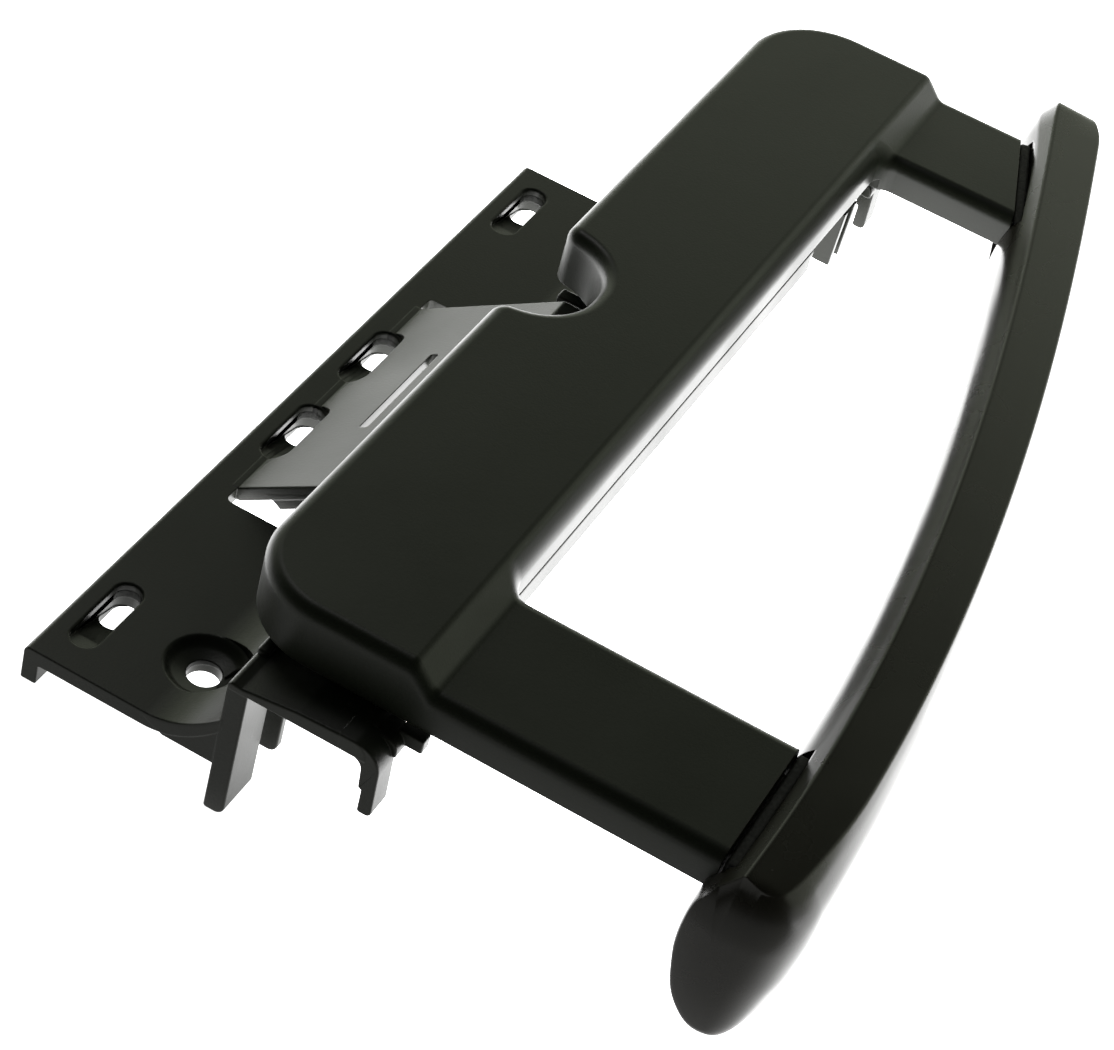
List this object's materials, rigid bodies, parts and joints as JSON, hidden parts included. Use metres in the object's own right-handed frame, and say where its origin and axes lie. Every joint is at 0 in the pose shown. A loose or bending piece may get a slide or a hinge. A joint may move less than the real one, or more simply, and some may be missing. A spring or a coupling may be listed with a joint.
{
  "type": "vehicle door pull handle",
  "caption": "Hinged D-shaped pull with a bowed grip on a moulded mounting bracket, with a sprung return and a release lever worked by the pull.",
  "frame": {"origin": "middle of the bracket plate's back face, on the flat strip between the clip slots", "axes": "+Z away from the door, +X from the plate towards the grip, +Y along the handle from the wide arm to the slanted arm"},
  "size_m": [0.1273, 0.2302, 0.041],
  "materials": {
    "bracket_plastic": "fine-grained black satin moulding",
    "cover_plastic": "fine-grained black satin moulding",
    "grip_plastic": "smooth black semi-gloss",
    "frame_nylon": "matt black glass-filled nylon",
    "bush_acetal": "smooth white acetal",
    "black_rubber": "matt black rubber",
    "plated_steel": "zinc-plated steel",
    "spring_steel": "oiled spring steel"
  },
  "bodies": {
    "carrier": {"mounting_bracket": "bracket_plastic", "hinge_pin_near": "plated_steel", "hinge_pin_far": "plated_steel", "hinge_pin_ring_near": "spring_steel", "hinge_pin_ring_far": "spring_steel", "stop_buffer_near": "black_rubber", "stop_buffer_far": "black_rubber", "return_spring": "spring_steel", "lever_pin": "plated_steel", "lever_pin_ring": "spring_steel"},
    "handle": {"handle_cover": "cover_plastic", "handle_frame": "frame_nylon", "grip": "grip_plastic", "grip_collar_near": "black_rubber", "grip_collar_far": "black_rubber", "grip_screw_near": "plated_steel", "grip_screw_far": "plated_steel", "hinge_bush_near_a": "bush_acetal", "hinge_bush_near_b": "bush_acetal", "hinge_bush_far_a": "bush_acetal", "hinge_bush_far_b": "bush_acetal", "frame_screw_1": "plated_steel", "frame_screw_2": "plated_steel", "frame_screw_3": "plated_steel", "frame_screw_4": "plated_steel"},
    "release_lever": {"release_lever": "plated_steel", "cable_nipple_clip": "bush_acetal"}
  },
  "joints": [
    {"name": "handle_lift", "type": "hinge", "parent": "carrier", "child": "handle", "pos_m": [0.0304, 0, 0.0244], "axis": [0, -1, 0], "range_deg": [0, 16], "stiffness_Nm_per_rad": 0.15, "springref_deg": -34.38, "deforming": ["return_spring"]},
    {"name": "lever_swing", "type": "hinge", "parent": "carrier", "child": "release_lever", "pos_m": [0.0349, 0.0962, 0.0129], "axis": [0, -1, 0], "range_deg": [0, 18]}
  ],
  "couplings": [
    {"joint": "lever_swing", "follows": "handle_lift", "ratio": 1.1}
  ]
}
